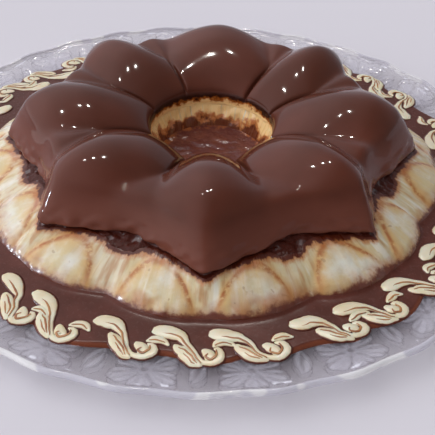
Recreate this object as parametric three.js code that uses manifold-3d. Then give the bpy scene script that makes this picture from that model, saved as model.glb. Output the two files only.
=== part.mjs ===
// Chocolate flan turned out of a fluted ring mould, served on a round pressed-glass plate.
// Millimetres, +Z up. The origin is the middle of the plate's foot, where it stands.
// A crown of eight keeled petals, with a small ridge between each pair, is set in chocolate.
// Below it runs a custard layer with sixteen arched pillows round its side.
// The flan stands in a pool of sauce with cream scrolls, and more sauce lies in its hole.

import * as THREE from 'three';
import Module from 'manifold-3d';

const wasm = await Module();
wasm.setup();

// ---- Driving dimensions ------------------------------------------------------------------

const PETALS = 8;                 // large petals of the crown
const COLUMNS = 16;               // mesh columns in one petal's sector
const RIDGE_COLUMN = 5;           // column of the crease, counted from the keel
const GAP = 0.3;                  // clearance between touching pieces

const FLAN_X = 3.5;               // the flan stands a little off the plate's middle
const FLAN_Y = 0.3;
const FLAN_TURN = -1.3;           // degrees that the front keel is turned from -Y

const PLATE_RADIUS = 165.5;       // to the middle of the wavy rim
const PLATE_WAVES = 32;           // shallow waves round the rim
const PLATE_WAVE = 0.7;           // how far each wave stands out
const WAVE_LIFT = 0.4;            // how far it also lifts the rim, as a share of that
const WAVE_START = 150;           // radius from which the waves grow
const PLATE_COLUMNS = 4 * PLATE_WAVES;
const WELL_LEVEL = 5;             // upper face of the plate's flat middle
const WELL_RADIUS = 125;
const FLANGE_WIDTH = 39;          // from the well to the rim
const FLANGE_RISE = 5.6;
const FLANGE_CURVE = 2.2;         // power by which the flange rises: it starts level

const SAUCE_LEVEL = 8;            // sauce round the flan
const HOLE_SAUCE_LEVEL = 14;      // sauce lying in the hole
const SAUCE_RADIUS = 144.5;
const SAUCE_SCALLOP = 2.2;        // how far the pool's edge swells round each scroll
const SAUCE_WANDER = 0.8;         // and how far it wanders more slowly
const SCROLLS = 30;               // cream scrolls round the sauce
const SCROLL_MIDDLE = 138;        // radius that the scrolls wind about
const SCROLL_DRIFT = 0.16;        // how unevenly they are spaced, as a share of one
const CREAM_RISE = 1.1;           // how far the cream stands above the sauce
const CREAM_SINK = 0.5;           // how far its sides reach below

const PILLOW_CENTRE = 10.7;       // degrees from a keel to the middle of a pillow
const PILLOW_HALF = 8.4;          // degrees from there to the pillow's side
const PILLOW_DEPTH = 3.2;         // how far a pillow swells from the wall
const PILLOW_CURVE = 2.4;         // power by which it draws in again toward its arch
const PILLOW_FOOT = 0.3;          // share of its swell that is left at the foot
const ARCH_SHARE = 0.7;           // how far its arch rises across the dark band
const BASE_KEEL = 122.4;          // custard wall at the foot, under a keel
const BASE_BETWEEN = 116.5;       // and between two petals
const BASE_CURVE = 2.5;           // power by which it draws in from one to the other
const WALL_CURVE = 1.4;           // power by which the wall leans in toward the chocolate

// Sections of the crown from the hole, over the top, down to the foot of the dark band.
// keel, crease and mid, halfway between two petals: [radius, height].
// lift: how far a full ridge stands above mid. fold: how far it also lifts crease and mid.
// wide: degrees from the ridge's middle to its crease. cusp: 0 is a round petal, 1 a sharp one.
// The eaves run at a height of about 38.
const CROWN = [
  { keel: [32.1, 26.0], crease: [32.3, 26.0], mid: [32.3, 26.0], lift: 0, fold: 0, wide: 1.8, cusp: 0 },
  { keel: [32.4, 32.2], crease: [32.7, 28.0], mid: [32.8, 26.9], lift: 0, fold: 3.2, wide: 1.9, cusp: 0 },
  { keel: [34.6, 35.9], crease: [35.0, 30.2], mid: [35.4, 27.8], lift: 0, fold: 4.4, wide: 1.9, cusp: 0 },
  { keel: [43.2, 41.3], crease: [44.2, 35.0], mid: [44.8, 31.6], lift: 0.8, fold: 3.8, wide: 1.6, cusp: 0 },
  { keel: [57.0, 46.6], crease: [57.0, 38.7], mid: [57.0, 36.8], lift: 0.8, fold: 2.6, wide: 1.5, cusp: 0.02 },
  { keel: [70.0, 49.5], crease: [67.5, 40.0], mid: [67.5, 39.6], lift: 1.4, fold: 1.4, wide: 3.2, cusp: 0.08 },
  { keel: [85.0, 49.2], crease: [77.5, 41.0], mid: [78.0, 41.0], lift: 2, fold: 0.4, wide: 5.4, cusp: 0.18 },
  { keel: [96.0, 44.2], crease: [84.0, 40.4], mid: [84.0, 40.4], lift: 2.2, fold: 0, wide: 6.4, cusp: 0.36 },
  { keel: [101.6, 38.2], crease: [88.6, 36.6], mid: [87.2, 36.6], lift: 1.4, fold: 0, wide: 7.4, cusp: 0.6 },
  { keel: [105.9, 31.0], crease: [92.8, 31.0], mid: [90.2, 31.2], lift: 0.4, fold: 0, wide: 8.2, cusp: 0.66 },
  { keel: [109.3, 23.2], crease: [96.1, 24.9], mid: [92.0, 25.7], lift: 0, fold: 0, wide: 8.44, cusp: 0.68 },
  { keel: [106.8, 21.6], crease: [94.0, 23.2], mid: [90.4, 24.0], lift: 0, fold: 0, wide: 8.44, cusp: 0.68 },
];
const BAND_FOOT = { keel: [109.2, 20.0], crease: [98.6, 20.0] };
const HOLE_EDGE = [32.0, 25.0];   // where the two layers meet in the hole
const HOLE_WALL = [[29.6, 19.5], [27.6, HOLE_SAUCE_LEVEL]];    // custard wall inside the hole
const HOLE_FOOT = 27.0;           // radius of the hole where the flan stands on the plate
// How each petal and ridge stands, counted from the front and from right of it: degrees off
// its even place, degrees that a ridge leans further at the hole, and how full it is.
const PETAL_DRIFT = [0.5, 0.6, 0, 0, -1.2, 0, 0, -0.3];
const RIDGE_DRIFT = [2.5, -4, 2, -5, 5, 0, 4, 1];
const RIDGE_LEAN = [-4.4, 3, -4, -5, 0, 2, -3, 2.2];
const RIDGE_FILL = [0.1, 0.8, 0.9, 0.9, 1.5, 1, 0.8, 0.1];
const LEAN_INNER = 57;            // a ridge leans in full up to this radius
const LEAN_OUTER = 77;            // and not at all from this one

// ---- Small helpers -----------------------------------------------------------------------

const radians = THREE.MathUtils.degToRad;
const lerp = THREE.MathUtils.lerp;

function polar(radius, angle, height) {
  return new THREE.Vector3(radius * Math.cos(angle), radius * Math.sin(angle), height);
}

// Closed body from rows of points round an axis: rows[row][column], the outline run so that
// it goes up at the axis side. Without centres the last row joins the first, as in a ring;
// with centres [first, last] each end row is closed by a fan. Each cell is cut along its
// shorter diagonal, so two bodies that share a face cut it alike.
function ringBody(rows, centres) {
  const columns = rows[0].length;
  const positions = [];
  const index = [];
  for (const { x, y, z } of rows.flat()) positions.push(x, y, z);
  const at = (row, column) => (row % rows.length) * columns + (column % columns);
  const point = (i) => rows[Math.floor(i / columns)][i % columns];
  const bands = centres ? rows.length - 1 : rows.length;
  for (let row = 0; row < bands; row += 1) {
    for (let column = 0; column < columns; column += 1) {
      const a = at(row, column);
      const b = at(row, column + 1);
      const c = at(row + 1, column + 1);
      const d = at(row + 1, column);
      if (point(a).distanceTo(point(c)) < point(b).distanceTo(point(d))) index.push(a, b, c, a, c, d);
      else index.push(a, b, d, b, c, d);
    }
  }
  if (centres) {
    const first = rows.length * columns;
    positions.push(...centres[0], ...centres[1]);
    for (let column = 0; column < columns; column += 1) {
      index.push(first, at(0, column + 1), at(0, column));
      index.push(first + 1, at(rows.length - 1, column), at(rows.length - 1, column + 1));
    }
  }
  const geometry = new THREE.BufferGeometry();
  geometry.setAttribute('position', new THREE.Float32BufferAttribute(positions, 3));
  geometry.setIndex(index);
  return geometry;
}

function toManifold(geometry) {
  return new wasm.Manifold(new wasm.Mesh({
    numProp: 3,
    vertProperties: new Float32Array(geometry.attributes.position.array),
    triVerts: new Uint32Array(geometry.index.array),
  }));
}

function fromManifold(solid) {
  const mesh = solid.getMesh();
  const geometry = new THREE.BufferGeometry();
  geometry.setAttribute('position', new THREE.Float32BufferAttribute(mesh.vertProperties, 3));
  geometry.setIndex(Array.from(mesh.triVerts));
  return geometry;
}

// ---- Angles round the flan ---------------------------------------------------------------

const LAST_SECTION = CROWN[CROWN.length - 1];
const flanColumns = Array.from({ length: PETALS * COLUMNS }, (_, column) => column);

// Where a column lies: its petal's keel in degrees from the front, which side of the keel, its
// share of petal and ridge, and degrees from the keel to the ridge's middle, there and at the hole.
function columnPlace(column) {
  const petal = Math.floor(column / COLUMNS + 0.5);
  const steps = column - petal * COLUMNS;
  const side = Math.sign(steps) || 1;
  const away = Math.abs(steps);
  const ridge = THREE.MathUtils.euclideanModulo(side > 0 ? petal : petal - 1, PETALS);
  const drift = PETAL_DRIFT[petal % PETALS];
  return {
    keel: petal * 360 / PETALS + drift,
    side,
    petalShare: Math.min(away / RIDGE_COLUMN, 1),
    ridgeShare: Math.max((away - RIDGE_COLUMN) / (COLUMNS / 2 - RIDGE_COLUMN), 0),
    ridgeFill: RIDGE_FILL[ridge],
    halfSector: 180 / PETALS + side * (RIDGE_DRIFT[ridge] - drift),
    lean: side * RIDGE_LEAN[ridge],
  };
}

// Degrees between the column and its keel, at a section of the crown.
function degreesOffKeel(column, section) {
  const { petalShare, ridgeShare, halfSector, lean } = columnPlace(column);
  const inward = (LEAN_OUTER - section.crease[0]) / (LEAN_OUTER - LEAN_INNER);
  const middle = halfSector + lean * THREE.MathUtils.clamp(inward, 0, 1);
  const crease = middle - section.wide;
  return ridgeShare > 0 ? lerp(crease, middle, ridgeShare) : crease * petalShare;
}

function columnAngle(column, section = LAST_SECTION) {
  const { keel, side } = columnPlace(column);
  return radians(keel + side * degreesOffKeel(column, section) - 90 + FLAN_TURN);
}

// ---- Chocolate crown ---------------------------------------------------------------------

// A petal's section from keel (share 0) to crease (share 1): a dome mixed with a sharp cusp.
function petalCurve(share, cusp) {
  const dome = 1 - share ** 2;
  const point = (1 - share) ** 2;
  return lerp(dome, point, cusp);
}

function crownPoint(column, section) {
  const { petalShare, ridgeShare, ridgeFill } = columnPlace(column);
  const onRidge = ridgeShare > 0;
  const mix = onRidge ? Math.sin(ridgeShare * Math.PI / 2) : petalCurve(petalShare, section.cusp);
  const end = onRidge ? section.mid : section.keel;
  const onCrease = ridgeFill * section.fold;
  const onEnd = onRidge ? onCrease + ridgeFill * section.lift : 0;
  const radius = lerp(section.crease[0], end[0], mix);
  const height = lerp(section.crease[1] + onCrease, end[1] + onEnd, mix);
  return polar(radius, columnAngle(column, section), height);
}

// How full a pillow is across its width: 1 in its middle, 0 at its sides and between pillows.
function pillowShare(column) {
  const across = (degreesOffKeel(column, LAST_SECTION) - PILLOW_CENTRE) / PILLOW_HALF;
  return Math.sqrt(Math.max(0, 1 - across * across));
}

// Edge at which chocolate meets custard outside: it rises over each pillow's arch.
function bandFoot(column) {
  const mix = petalCurve(columnPlace(column).petalShare, 1);
  const lip = crownPoint(column, LAST_SECTION);
  const rise = ARCH_SHARE * pillowShare(column);
  return {
    radius: lerp(lerp(BAND_FOOT.crease[0], BAND_FOOT.keel[0], mix), Math.hypot(lip.x, lip.y), rise),
    height: lerp(lerp(BAND_FOOT.crease[1], BAND_FOOT.keel[1], mix), lip.z, rise),
  };
}

// The two rows of the face on which the layers meet: its outer edge, then its edge in the hole.
function layerFace(drop) {
  const outside = flanColumns.map((column) => {
    const foot = bandFoot(column);
    return polar(foot.radius, columnAngle(column), foot.height - drop);
  });
  const inside = flanColumns.map((column) => (
    polar(HOLE_EDGE[0], columnAngle(column), HOLE_EDGE[1] - drop)
  ));
  return [outside, inside];
}

function chocolateLayer() {
  const crown = CROWN.map((section) => flanColumns.map((column) => crownPoint(column, section)));
  const rows = [...crown, ...layerFace(0)];
  return ringBody(rows.reverse());
}

// ---- Custard layer -----------------------------------------------------------------------

// Custard wall at a share of its height: 0 at the sauce, 1 where the chocolate starts.
function custardPoint(column, share) {
  const foot = bandFoot(column);
  const height = lerp(SAUCE_LEVEL, foot.height - GAP, share);
  const away = degreesOffKeel(column, LAST_SECTION) / columnPlace(column).halfSector;
  const base = lerp(BASE_KEEL, BASE_BETWEEN, away ** BASE_CURVE);
  const wall = lerp(base, foot.radius, share ** WALL_CURVE);
  const fullness = Math.max(0, pillowShare(column) ** 2 - share ** PILLOW_CURVE);
  const swell = PILLOW_DEPTH * lerp(PILLOW_FOOT, 1, Math.min(1, 3 * share));
  return polar(wall + swell * Math.sqrt(fullness), columnAngle(column), height);
}

function custardLayer() {
  const hole = (radius, height) => flanColumns.map((column) => (
    polar(radius, columnAngle(column), height)
  ));
  const foot = flanColumns.map((column) => custardPoint(column, 0).setZ(WELL_LEVEL + GAP));
  const wall = [0, 0.3, 0.6, 0.86].map((share) => (
    flanColumns.map((column) => custardPoint(column, share))
  ));
  const bore = HOLE_WALL.map(([radius, height]) => hole(radius, height));
  return ringBody([hole(HOLE_FOOT, WELL_LEVEL + GAP), foot, ...wall, ...layerFace(GAP), ...bore]);
}

// ---- Sauce and cream ---------------------------------------------------------------------

// Height of the plate's upper face at a radius: a flat well with a gently rising flange.
function plateTop(radius) {
  const flange = THREE.MathUtils.clamp((radius - WELL_RADIUS) / FLANGE_WIDTH, 0, 1);
  return WELL_LEVEL + FLANGE_RISE * flange ** FLANGE_CURVE;
}

function sauceEdge(angle) {
  return SAUCE_RADIUS + SAUCE_SCALLOP * Math.cos(SCROLLS * angle) + SAUCE_WANDER * Math.sin(5 * angle);
}

// The ring of sauce between the custard's foot and the scalloped edge of the pool.
function sauceRing() {
  const inside = flanColumns.map((column) => {
    const foot = custardPoint(column, 0);
    const start = polar(Math.hypot(foot.x, foot.y) + GAP, columnAngle(column), SAUCE_LEVEL);
    return start.add(new THREE.Vector3(FLAN_X, FLAN_Y, 0));
  });
  const outside = flanColumns.map((column) => {
    const angle = columnAngle(column);
    return polar(sauceEdge(angle), angle, SAUCE_LEVEL);
  });
  const onPlate = (point) => point.clone().setZ(plateTop(Math.hypot(point.x, point.y)) + GAP);
  return ringBody([inside.map(onPlate), outside.map(onPlate), outside, inside]);
}

// The scrolls as piped: [along the pool, out from its middle, half width] at each step.
// A stroke starts in a fat head, thins and hooks back round the blob beside it.
const STROKE = [
  [-8.5, -4.6, 1.6], [-3, -6.0, 3.3], [3.5, -2.2, 2.4], [8.5, 4.6, 1.5], [13.6, 4.4, 1.4], [13, -0.6, 0.8],
];
const BLOB = [[-7.6, 1.6, 1.1], [-1.8, 3.6, 2.5], [4, 6, 0.9]];

function creamStroke(steps, scroll) {
  const turn = 2 * Math.PI * (scroll + SCROLL_DRIFT * Math.sin(4 * scroll)) / SCROLLS;
  const spine = steps.map(([tangent, out]) => (
    polar(SCROLL_MIDDLE + out, turn + tangent / SCROLL_MIDDLE, SAUCE_LEVEL)
  ));
  const rows = spine.map((point, i) => {
    const before = spine[Math.max(i - 1, 0)];
    const after = spine[Math.min(i + 1, spine.length - 1)];
    const across = after.clone().sub(before).normalize().cross(new THREE.Vector3(0, 0, 1));
    const width = steps[i][2];
    return [[-width, -CREAM_SINK], [0, CREAM_RISE], [width, -CREAM_SINK]].map(([side, rise]) => (
      point.clone().addScaledVector(across, side).setZ(point.z + rise)
    ));
  });
  const middle = (row) => row[0].clone().lerp(row[2], 0.5).toArray();
  return ringBody(rows, [middle(rows[0]), middle(rows[rows.length - 1])]);
}

function sauceWithCream() {
  let solid = toManifold(sauceRing());
  for (let scroll = 0; scroll < SCROLLS; scroll += 1) {
    for (const steps of [STROKE, BLOB]) solid = solid.add(toManifold(creamStroke(steps, scroll)));
  }
  return fromManifold(solid);
}

// Sauce in the hole, clear of its wall, with a rounded shoulder.
function holeSauce() {
  const everyOther = flanColumns.filter((column) => column % 2 === 0);
  const disc = (radius, height) => everyOther.map((column) => (
    polar(radius - 2 * GAP, columnAngle(column), height)
  ));
  const low = WELL_LEVEL + GAP;
  const wall = HOLE_WALL[1][0];
  const rows = [
    disc(HOLE_FOOT, low),
    disc(wall, HOLE_SAUCE_LEVEL - 0.4),
    disc(wall - 2, HOLE_SAUCE_LEVEL),
  ];
  return ringBody(rows, [[0, 0, low], [0, 0, HOLE_SAUCE_LEVEL]]);
}

// ---- Glass plate -------------------------------------------------------------------------

// Outline of half the plate, from the edge of its foot out, round the rim and back to the well.
function plateOutline() {
  const under = [[112, 0], [150, 3.8], [162, 7.4]];
  const rim = [[PLATE_RADIUS, 9.2], [PLATE_RADIUS - 0.6, 10.8], [PLATE_RADIUS - 2.4, 10.4]];
  const top = [150, 138, WELL_RADIUS].map((radius) => [radius, plateTop(radius)]);
  return [...under, ...rim, ...top];
}

function plateBody() {
  const rows = plateOutline().map(([radius, height]) => {
    const reach = Math.max(0, (radius - WAVE_START) / (PLATE_RADIUS - WAVE_START));
    return Array.from({ length: PLATE_COLUMNS }, (_, column) => {
      const angle = column * 2 * Math.PI / PLATE_COLUMNS;
      const wave = PLATE_WAVE * reach * Math.cos(PLATE_WAVES * angle);
      return polar(radius + wave, angle, height + WAVE_LIFT * wave);
    });
  });
  return ringBody(rows, [[0, 0, 0], [0, 0, WELL_LEVEL]]);
}

// ---- Assembly ----------------------------------------------------------------------------

function piece(name, geometry, color, roughness) {
  const material = new THREE.MeshStandardMaterial({ color, roughness, metalness: 0 });
  const mesh = new THREE.Mesh(geometry, material);
  mesh.name = name;
  return mesh;
}

const flan = new THREE.Group();
flan.position.set(FLAN_X, FLAN_Y, 0);
flan.add(
  piece('chocolate_layer', chocolateLayer(), 0x4f2a22, 0.12),
  piece('custard_layer', custardLayer(), 0xe2d3ac, 0.3),
  piece('hole_sauce', holeSauce(), 0x4a2420, 0.1),
);

const glass = piece('plate', plateBody(), 0xd9dde6, 0.05);
glass.material.transparent = true;
glass.material.opacity = 0.35;

const dessert = new THREE.Group();
dessert.add(glass, piece('chocolate_sauce', sauceWithCream(), 0x50302e, 0.15), flan);

export default dessert;
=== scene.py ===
# Chocolate flan on a pressed-glass plate: fine surfaces, their finishes, lights and camera.
# Shapes are worked out in millimetres and turned into metres as each mesh is made.

import math

import bpy
import numpy as np
from mathutils import Matrix, Vector


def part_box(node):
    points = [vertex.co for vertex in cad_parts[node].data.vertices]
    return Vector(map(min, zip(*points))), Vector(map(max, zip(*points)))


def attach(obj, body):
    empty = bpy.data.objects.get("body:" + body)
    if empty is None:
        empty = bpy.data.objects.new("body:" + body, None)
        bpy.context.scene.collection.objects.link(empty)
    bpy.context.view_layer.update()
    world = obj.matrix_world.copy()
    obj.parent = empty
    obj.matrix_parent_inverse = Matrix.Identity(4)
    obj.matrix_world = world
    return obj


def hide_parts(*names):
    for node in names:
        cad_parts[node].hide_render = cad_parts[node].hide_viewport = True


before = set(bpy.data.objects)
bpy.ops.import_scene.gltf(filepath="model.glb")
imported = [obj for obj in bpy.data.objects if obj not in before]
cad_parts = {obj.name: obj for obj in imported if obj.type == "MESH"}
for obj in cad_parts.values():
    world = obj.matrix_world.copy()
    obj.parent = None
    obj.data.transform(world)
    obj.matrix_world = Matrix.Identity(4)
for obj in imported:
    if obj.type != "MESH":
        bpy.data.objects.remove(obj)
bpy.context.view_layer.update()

MM = 0.001
FLAT = (1.0, 1.0, 0.0)        # leaves out the height

# ---- Sizes, in millimetres and degrees

PETALS = 8                    # large petals of the crown
FLAN_MIDDLE = (3.5, 0.3)      # where the flan stands on the plate
FLAN_TURN = -1.3              # the front keel's turn from -Y
PETAL_STEPS = 26              # mesh columns from a keel to its crease
RIDGE_STEPS = 12              # and from the crease to the small ridge's middle
SECTION_STEPS = 8             # mesh rows between two sections of the crown
BAND_ROWS = 15                # mesh rows of the dark band,
WALL_ROWS = 44                # of the custard's outer wall
HOLE_ROWS = 28                # and of its wall in the hole

SAUCE_LEVEL = 8.0
HOLE_SAUCE_LEVEL = 14.0
WELL_LEVEL = 5.0
WELL_RADIUS = 125.0
FLOOR_LEVEL = 5.3             # underside of the custard and of the sauce in the hole
LAYER_GAP = 0.02              # by which the custard stays under the chocolate
GLASS_GAP = 0.01              # by which the sauce stays over the plate

FLANGE_WIDTH = 39.0
FLANGE_RISE = 5.6
FLANGE_CURVE = 2.2
PLATE_RADIUS = 165.5
PLATE_FOOT = 112.0            # radius of the plate's flat foot
UNDERSIDE_RADII = (PLATE_FOOT, 150.0, 162.0)
UNDERSIDE_LEVELS = (0.0, 3.8, 7.4)
RIM_LEVEL = 9.5               # height of the middle of the plate's rounded rim
RIM_ROUND = 1.5               # and how round that is
PLATE_COLUMNS = 960
PLATE_WAVES = 32              # waves round the rim
PLATE_WAVE = 0.7              # how far they reach out
WAVE_LIFT = 0.4               # and up, as a share of that
WAVE_START = 150.0
RELIEF_UNDER = -0.8           # how deep the relief is pressed from below,
RELIEF_START = (128.0, 136.0)  # from where
RELIEF_END = (160.0, 163.0)   # to where,
RELIEF_OVER = 0.3             # how high it stands above
RELIEF_FADE = (158.0, 161.5)  # and where that ends
FLOWERS = 22
FLOWER_MIDDLE = 151.0
FLOWER_SIZE = 16.0
LEAF_MIDDLE = 150.0
LEAF_HALF_LENGTH = 10.0
LEAF_HALF_WIDTH = 3.6
# Radii at which a part of the flange begins, is full, still is full and ends.
FLOWER_ZONE = (134.0, 138.0, 160.5, 162.5)
# The ring just inside the rim where glints are painted.
GLINT_RING_ZONE = (159.0, 160.0, 160.8, 161.8)
RIM_ZONE = (162.5, 163.8)

SAUCE_RADIUS = 144.5
SAUCE_SCALLOP = 2.2
SAUCE_TUCK = 1.2              # how far the sauce reaches under the custard's wall
SAUCE_ROUND = 2.4             # width over which its edge rounds off
SAUCE_THIN = 3.2              # and over which it looks thin
SCROLLS = 30
SCROLL_MIDDLE = 138.0
SCROLL_DRIFT = 0.16           # unevenness of the scrolls' spacing, as a share of it
SCROLL_BEAT = 4.0             # and how fast that comes and goes
SCROLL_FALL_ZONE = (142.5, 148.0)
SCROLL_FALL = 0.45            # how far scrolls come down past the sauce's edge

PILLOW_CENTRE = 10.7
PILLOW_HALF = 8.4
PILLOW_DEPTH = 3.2
PILLOW_CURVE = 2.4
PILLOW_FOOT = 0.3             # share of a pillow's swell that is left at the foot
ARCH_SHARE = 0.7              # how far a pillow's arch rises across the dark band
BASE_KEEL = 122.4             # radius of the custard's foot under a keel
BASE_BETWEEN = 116.5          # and between two petals
BASE_CURVE = 2.5
WALL_CURVE = 1.4
WALL_RADIUS = 112.0           # radius at which patterns that run up the walls are drawn

# Sections of the crown from the hole over the top to the foot of the dark band: keel radius
# and height, crease radius and height, radius and height halfway between two petals, how far
# a full ridge stands above that, how far it also lifts its creases, degrees from its middle
# to its crease, and how sharp the petal is.
CROWN = np.array([
    (32.1, 26.0, 32.3, 26.0, 32.3, 26.0, 0.0, 0.0, 1.80, 0.00),
    (32.4, 32.2, 32.7, 28.0, 32.8, 26.9, 0.0, 3.2, 1.90, 0.00),
    (34.6, 35.9, 35.0, 30.2, 35.4, 27.8, 0.0, 4.4, 1.90, 0.00),
    (43.2, 41.3, 44.2, 35.0, 44.8, 31.6, 0.8, 3.8, 1.60, 0.00),
    (57.0, 46.6, 57.0, 38.7, 57.0, 36.8, 0.8, 2.6, 1.50, 0.02),
    (70.0, 49.5, 67.5, 40.0, 67.5, 39.6, 1.4, 1.4, 3.20, 0.08),
    (85.0, 49.2, 77.5, 41.0, 78.0, 41.0, 2.0, 0.4, 5.40, 0.18),
    (96.0, 44.2, 84.0, 40.4, 84.0, 40.4, 2.2, 0.0, 6.40, 0.36),
    (101.6, 38.2, 88.6, 36.6, 87.2, 36.6, 1.4, 0.0, 7.40, 0.60),
    (105.9, 31.0, 92.8, 31.0, 90.2, 31.2, 0.4, 0.0, 8.20, 0.66),
    (109.3, 23.2, 96.1, 24.9, 92.0, 25.7, 0.0, 0.0, 8.44, 0.68),
    (106.8, 21.6, 94.0, 23.2, 90.4, 24.0, 0.0, 0.0, 8.44, 0.68),
])
LAST_SECTION = len(CROWN) - 1
FOOT_WIDE = CROWN[-1][8]
FOOT_CREASE = CROWN[-1][2]
BAND_FOOT_KEEL = 109.2        # radius of the dark band's foot under a keel
BAND_FOOT_CREASE = 98.6       # and between petals
BAND_FOOT_LEVEL = 20.0
HOLE_EDGE = (32.0, 25.0)      # where the two layers meet in the hole
HOLE_WALL = (HOLE_EDGE, (29.6, 19.5), (27.6, HOLE_SAUCE_LEVEL), (27.0, FLOOR_LEVEL))
# Places on the crown, counted in sections, from which and to which a change sets in.
MELLOW_START = (3.2, 5.5)     # creases run soft
MELLOW_END = (8.8, 10.4)      # and are crisp again
CROWN_WALL = (7.0, 9.4)       # the top turns into the wall
LIP = (8.6, 10.0)             # the lip's unevenness
DARK_BAND = (9.9, 11.0)       # the dark colour of the band
HOLE_RIM = (0.9, 3.0)         # the colours of the hole's rim end
CREASE_PASSES = 5             # how often a crease is softened,
MELLOW_PASSES = 22            # and again where it runs soft
FAR_FROM_RIM = 20.0           # anywhere away from the hole's rim
# How each petal and ridge stands, counted from the front and from right of it: degrees off
# its even place, degrees that a ridge leans further at the hole, and how full it is.
PETAL_DRIFT = (0.5, 0.6, 0, 0, -1.2, 0, 0, -0.3)
RIDGE_DRIFT = (2.5, -4, 2, -5, 5, 0, 4, 1)
RIDGE_LEAN = (-4.4, 3, -4, -5, 0, 2, -3, 2.2)
RIDGE_FILL = (0.1, 0.8, 0.9, 0.9, 1.5, 1, 0.8, 0.1)
LEAN_INNER = 57.0             # a ridge leans in full up to this radius
LEAN_OUTER = 77.0             # and not at all from this one

# Camera: place in millimetres, then its turns in degrees.
CAMERA_PLACE = (3.46, -373.05, 257.0)
CAMERA_YAW = 0.68
CAMERA_PITCH = 37.61
CAMERA_ROLL = 1.52
CAMERA_LENS = 68.1


# ---- Numbers

def mix(a, b, share):
    return a + (b - a) * share


def smooth(value, low, high):
    """0 below low, 1 above high, with soft ends."""
    share = np.clip((value - low) / (high - low), 0, 1)
    return share * share * (3 - 2 * share)


def lumps(points, wavelength, seed):
    """Soft random relief over points, about -1 to 1, with bumps of about that wavelength."""
    waves = 28
    draw = np.random.default_rng(seed)
    directions = draw.normal(size=(waves, 3))
    directions /= np.linalg.norm(directions, axis=1)[:, None]
    lengths = 2 * math.pi / (wavelength * draw.uniform(0.6, 1.7, waves))
    phases = draw.uniform(0, 2 * math.pi, waves)
    angles = points @ (directions * lengths[:, None]).T + phases
    return np.cos(angles).sum(axis=-1) / math.sqrt(waves)


def section_at(place):
    """The crown's section at a place between the listed ones, on a smooth curve through them."""
    index = min(int(place), LAST_SECTION - 1)
    t = place - index
    a, b, c, d = (CROWN[min(max(index + k, 0), LAST_SECTION)] for k in (-1, 0, 1, 2))
    return 0.5 * (2 * b + (c - a) * t + (2 * a - 5 * b + 4 * c - d) * t ** 2
                  + (3 * b - a - 3 * c + d) * t ** 3)


def polar(radius, angle, height):
    parts = np.broadcast_arrays(radius * np.cos(angle), radius * np.sin(angle), height)
    return np.stack(parts, axis=-1)


# ---- Meshes

def new_object(name, data):
    thing = bpy.data.objects.new(name, data)
    bpy.context.scene.collection.objects.link(thing)
    return thing


def new_mesh(name, points, edges, faces, attributes):
    """A mesh from points in millimetres, with one value of each attribute for each point."""
    mesh = bpy.data.meshes.new(name)
    mesh.from_pydata((np.array(points) * MM).tolist(), edges, faces)
    for label, values in attributes.items():
        layer = mesh.attributes.new(label, "FLOAT", "POINT")
        layer.data.foreach_set("value", np.array(values, dtype=np.float32).reshape(-1))
    return mesh


def ring_faces(rows, columns):
    """Quads between rows of points round an axis, and between the last row and the first."""
    first = np.arange(rows)[:, None] * columns
    second = (first + columns) % (rows * columns)
    here = np.arange(columns)[None, :]
    after = (here + 1) % columns
    quads = np.stack([first + here, first + after, second + after, second + here], axis=-1)
    return quads.reshape(-1, 4).tolist()


def ring_piece(name, rows, attributes, finish, sharp):
    """A closed ring of rows of points, smooth but for edges sharper than that many degrees."""
    points = np.array(rows)
    faces = ring_faces(*points.shape[:2])
    mesh = new_mesh(name, points.reshape(-1, 3), [], faces, attributes)
    mesh.materials.append(finish)
    mesh.shade_smooth()
    mesh.set_sharp_from_angle(angle=math.radians(sharp))
    return new_object(name, mesh)


def stand_on_plate(rows):
    """Moves rows worked out round the flan's axis to where the flan stands."""
    return np.array(rows) + np.array([*FLAN_MIDDLE, 0])


# ---- Node trees

class Wire:
    """An output socket. Arithmetic on it adds Math nodes to its board."""

    def __init__(self, board, socket):
        self.board = board
        self.socket = socket

    def math(self, operation, *others):
        """A Math node on this value, with the others after it."""
        return self.board.math(operation, self, *others)

    def __add__(self, other):
        return self.math("ADD", other)

    def __sub__(self, other):
        return self.math("SUBTRACT", other)

    def __rsub__(self, other):
        return self.board.math("SUBTRACT", other, self)

    def __mul__(self, other):
        return self.math("MULTIPLY", other)

    def __truediv__(self, other):
        return self.math("DIVIDE", other)

    def __pow__(self, other):
        return self.math("POWER", other)

    __radd__ = __add__
    __rmul__ = __mul__


class Outputs:
    """The outputs of a node, as wires, by name or index."""

    def __init__(self, board, node):
        self.board = board
        self.node = node

    def __getitem__(self, key):
        return Wire(self.board, self.node.outputs[key])


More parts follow.
